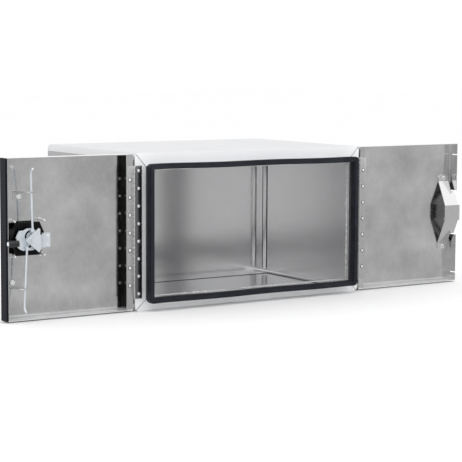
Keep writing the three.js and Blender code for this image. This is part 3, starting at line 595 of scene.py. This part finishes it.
hinge = {
    "knuckle": 12.8 * mm, "count": 30, "barrel": 3.25 * mm, "clear": 3.55 * mm, "leaf": 25.4 * mm,
    "thick": 1.5 * mm, "pitch": 50.8 * mm, "line": 14.3 * mm, "head": 4.9 * mm, "rise": 2.3 * mm,
    "tail": 3.6 * mm, "gap": 0.3 * mm, "rim": 6.3 * mm, "leafBack": 1.55 * mm, "farSide": 2.3 * mm,
    "plateRound": 0.3 * mm, "barrelRound": 0.45 * mm, "tongue": 0.5 * mm, "rimBack": 0.2 * mm,
    "rimThick": 0.5 * mm, "tailRise": 1.7 * mm, "shank": 2.2 * mm,
}


def finish(piece, material):
    piece.data.materials.clear()
    piece.data.materials.append(material)
    return piece


def hingeLeaf(name, body, node, side, toward, own, rivets, look):
    h = hinge
    axisX = side * cabinet["hingeX"]
    leafFront = cabinet["hingeY"] + h["leafBack"]
    farSide = cabinet["front"] + h["farSide"]
    start = cabinet["middle"] - h["knuckle"] * h["count"] / 2
    end = start + h["knuckle"] * h["count"]
    near, far = axisX + toward * h["clear"], axisX + toward * h["leaf"]
    plate = addBlock((min(near, far), leafFront, start), (max(near, far), leafFront + h["thick"], end))
    roundEdges(plate, h["plateRound"], 2)
    parts = [plate]
    barrel = addRound((axisX, cabinet["hingeY"], start + h["knuckle"] / 2), h["barrel"],
                      h["knuckle"] - h["gap"], "Z", 24)
    roundEdges(barrel, h["barrelRound"], 2)
    tongueFar = axisX + toward * (h["clear"] + h["tongue"])
    tongue = addBlock((min(axisX, tongueFar), leafFront, start + h["gap"] / 2),
                      (max(axisX, tongueFar), leafFront + h["thick"], start + h["knuckle"] - h["gap"] / 2))
    for i in range(own, h["count"], 2):
        parts.append(copyOf(barrel, (0, 0, i * h["knuckle"])))
        parts.append(copyOf(tongue, (0, 0, i * h["knuckle"])))
    for part in parts:
        finish(part, metals["leaf"])
    finish(plate, metals[look])
    rivetX = axisX + toward * h["line"]
    head = finish(addDome((rivetX, leafFront, 0), h["head"], h["rise"], (0, -1, 0)), metals["bright"])
    # a thin near-black ring behind each rivet head: painted shade where the head sits on the leaf
    rim = finish(addRound((rivetX, leafFront - h["rimBack"], 0), h["rim"], h["rimThick"], "Y", 20),
                 blackRubberAndRivetShade)
    tail = finish(addDome((rivetX, farSide, 0), h["tail"], h["tailRise"], (0, 1, 0), 16), metals["bright"])
    shank = finish(addRound((rivetX, (leafFront + farSide) / 2, 0), h["shank"], farSide - leafFront,
                            "Y", 12), metals["bright"])
    for i in range(rivets):
        z = cabinet["middle"] + (i - (rivets - 1) / 2) * h["pitch"]
        for model in (head, rim, tail, shank):
            parts.append(copyOf(model, (0, 0, z)))
    for model in (barrel, tongue, head, rim, tail, shank):
        bpy.data.objects.remove(model)
    piece = smooth(join(parts), 40)
    return dress(piece, name, body, "stainless", None, node)


for label, side in (("left", -1), ("right", 1)):
    hingeLeaf(f"{label}_frame_leaf", "cabinet", f"{label}_hinge_frame_leaf", side, -side, 0, 8, "leafPaintedShadeAndWeld")
    hingeLeaf(f"{label}_door_leaf", f"{label}_door", f"{label}_hinge_door_leaf", side, side, 1, 7, "leaf")
    coat(f"{label}_hinge_pin", metals["bright"])
print("hinges made")


plated = {
    "cam_plate": 0.4, "latch_spindle": 0.4, "roller_stud": 0.6, "spindle_nut": 0.5, "latch_bracket": 0.5,
    "upper_rod_pin": 0.4, "lower_rod_pin": 0.4,
}
for node, width in plated.items():
    softened(node, node + "_plated", "zinc", metals["plated"], width * mm)
for i in range(1, 5):
    softened(f"dish_bolt_{i}", f"dish_screw_{i}", "zinc", metals["bright"], 0.5 * mm)
    softened(f"dish_nut_{i}", f"dish_hex_nut_{i}", "zinc", metals["bright"], 0.5 * mm)
for node in ("bracket_rivet_1", "bracket_rivet_2", "upper_guide_bolt", "lower_guide_bolt",
             "strike_bolt_upper", "strike_bolt_lower"):
    softened(node, node + "_turned", "stainless", metals["bright"], 0.9 * mm, 3)
crossShade = {"long": 6.6 * mm, "wide": 1.5 * mm, "deep": 0.5 * mm}


def paintCrossShade(node):
    # a black cross set into the face of a strike bolt's head: painted shade standing in for the cross recess
    r = crossShade
    head = bpy.data.objects[node + "_turned"]
    low = [min(v.co[k] for v in head.data.vertices) for k in range(3)]
    high = [max(v.co[k] for v in head.data.vertices) for k in range(3)]
    x, z = (low[0] + high[0]) / 2, (low[2] + high[2]) / 2
    bars = []
    for halfX, halfZ in ((r["long"] / 2, r["wide"] / 2), (r["wide"] / 2, r["long"] / 2)):
        bars.append(addBlock((x - halfX, low[1], z - halfZ), (x + halfX, low[1] + r["deep"], z + halfZ)))
    dress(join(bars), node + "_cross_shade", "right_door", "stainless", blackPlasticAndCrossShade)


for node in ("strike_bolt_upper", "strike_bolt_lower"):
    paintCrossShade(node)
for node in ("upper_rod_guide", "lower_rod_guide", "t_handle", "lock_plug"):
    softened(node, node + "_worked", "stainless", metals["leaf"], 0.5 * mm)
softened("strike_plate", "strike_bridge", "stainless", metals["polishedPaintedReflection"], 0.5 * mm, 2, 15)
coat("handle_pivot_pin", metals["bright"])
for node in ("upper_rod", "lower_rod"):
    softened(node, node + "_drawn", "zinc", metals["plated"], 0.3 * mm, 1, 50)
softened("latch_dish", "handle_dish", "black_dish", blackPlasticAndCrossShade, 0.6 * mm)
softened("latch_roller", "nylon_roller", "black_roller", blackNylon, 0.8 * mm)
softened("left_door_edge_seal", "edge_strip", "rubber_seal", edgeRubber, 1.2 * mm, 3)
print("latch and strike made")


studio = {"floorTone": 0.95, "floorSize": 60, "floorDrop": 0.0006, "world": 1.05, "card": 0.38,
          "cardLight": 0.58, "cardLeft": -1.6, "cardRight": 4.6, "cardFront": -1.5, "cardTop": 0.85,
          "cardNear": -0.29, "cardLift": 0.004, "lampPlace": (-0.6, -0.8, 2.6), "lampAim": (0, 0, 0.2),
          "lampSize": (2.4, 1.6), "lampPower": 16}


def studioFloor():
    clearSelection()
    bpy.ops.mesh.primitive_plane_add(size=studio["floorSize"], location=(0, 0, -studio["floorDrop"]))
    floor = bpy.context.object
    floor.name = "studio_floor"
    material, tree, shader = startMaterial("paleFloor")
    place = tree.nodes.new("ShaderNodeTexCoord")
    mottle = noiseNode(tree, place.outputs["Object"], 3.0)
    tone = studio["floorTone"]
    colour = mixColour(tree, mottle.outputs["Fac"], (tone,) * 3, (tone * 0.99,) * 3)
    tree.links.new(colour, shader.inputs["Base Color"])
    shader.inputs["Roughness"].default_value = 0.9
    floor.data.materials.append(material)


def reflectionCard(name, low, high):
    # a grey card in front of the box that only shows in the metal
    clearSelection()
    bpy.ops.mesh.primitive_plane_add(size=1)
    card = bpy.context.object
    card.name = name
    across, deep, tall = (b - a for a, b in zip(low, high))
    standing = tall > deep
    card.scale = (across, tall if standing else deep, 1)
    card.rotation_euler = (math.pi / 2 if standing else 0, 0, 0)
    card.location = [(a + b) / 2 for a, b in zip(low, high)]
    material, tree, shader = startMaterial(name + "Paper")
    place = tree.nodes.new("ShaderNodeTexCoord")
    clouds = noiseNode(tree, place.outputs["Object"], 3.2, 2.0, 0.5)
    tone = mixColour(tree, clouds.outputs["Fac"], (studio["card"],) * 3, (studio["cardLight"],) * 3)
    glow = tree.nodes.new("ShaderNodeEmission")
    tree.links.new(tone, glow.inputs["Color"])
    tree.links.new(glow.outputs["Emission"], tree.nodes["Material Output"].inputs["Surface"])
    card.data.materials.append(material)
    card.visible_camera = False
    card.visible_diffuse = False
    card.visible_shadow = False


def softbox(name, place, aim, size, power):
    light = bpy.data.lights.new(name, "AREA")
    light.shape = "RECTANGLE"
    light.size, light.size_y = size
    light.energy = power
    lamp = bpy.data.objects.new(name, light)
    bpy.context.scene.collection.objects.link(lamp)
    lamp.location = place
    lamp.rotation_euler = (Vector(aim) - Vector(place)).to_track_quat("-Z", "Y").to_euler()


studioFloor()
reflectionCard("standingCard", (studio["cardLeft"], studio["cardFront"], 0.0),
               (studio["cardRight"], studio["cardFront"], studio["cardTop"]))
reflectionCard("lyingCard", (studio["cardLeft"], studio["cardFront"], studio["cardLift"]),
               (studio["cardRight"], studio["cardNear"], studio["cardLift"]))
softbox("overheadLight", studio["lampPlace"], studio["lampAim"], studio["lampSize"], studio["lampPower"])
world = bpy.data.worlds.new("studioAir")
world.use_nodes = True
world.node_tree.nodes["Background"].inputs["Color"].default_value = (1, 1, 1, 1)
world.node_tree.nodes["Background"].inputs["Strength"].default_value = studio["world"]
bpy.context.scene.world = world
bpy.context.scene.view_settings.view_transform = "Standard"

view = {"azimuth": 33.44, "down": 6.09, "roll": 0.29, "focal": 125.67,
        "place": (-2.7115, -4.2679, 0.7261)}


def placeCamera():
    az, el, roll = (math.radians(view[k]) for k in ("azimuth", "down", "roll"))
    ahead = Vector((math.sin(az) * math.cos(el), math.cos(az) * math.cos(el), -math.sin(el)))
    right = Vector((math.cos(az), -math.sin(az), 0))
    above = right.cross(ahead)
    turnedRight = math.cos(roll) * right + math.sin(roll) * above
    turnedAbove = math.cos(roll) * above - math.sin(roll) * right
    data = bpy.data.cameras.new("studioCamera")
    data.lens = view["focal"]
    data.sensor_width = 36
    data.clip_end = 100
    camera = bpy.data.objects.new("studioCamera", data)
    bpy.context.scene.collection.objects.link(camera)
    axes = Matrix((turnedRight, turnedAbove, -ahead)).transposed().to_4x4()
    camera.matrix_world = Matrix.Translation(view["place"]) @ axes
    bpy.context.scene.camera = camera


placeCamera()
print("studio set")

clearSelection()
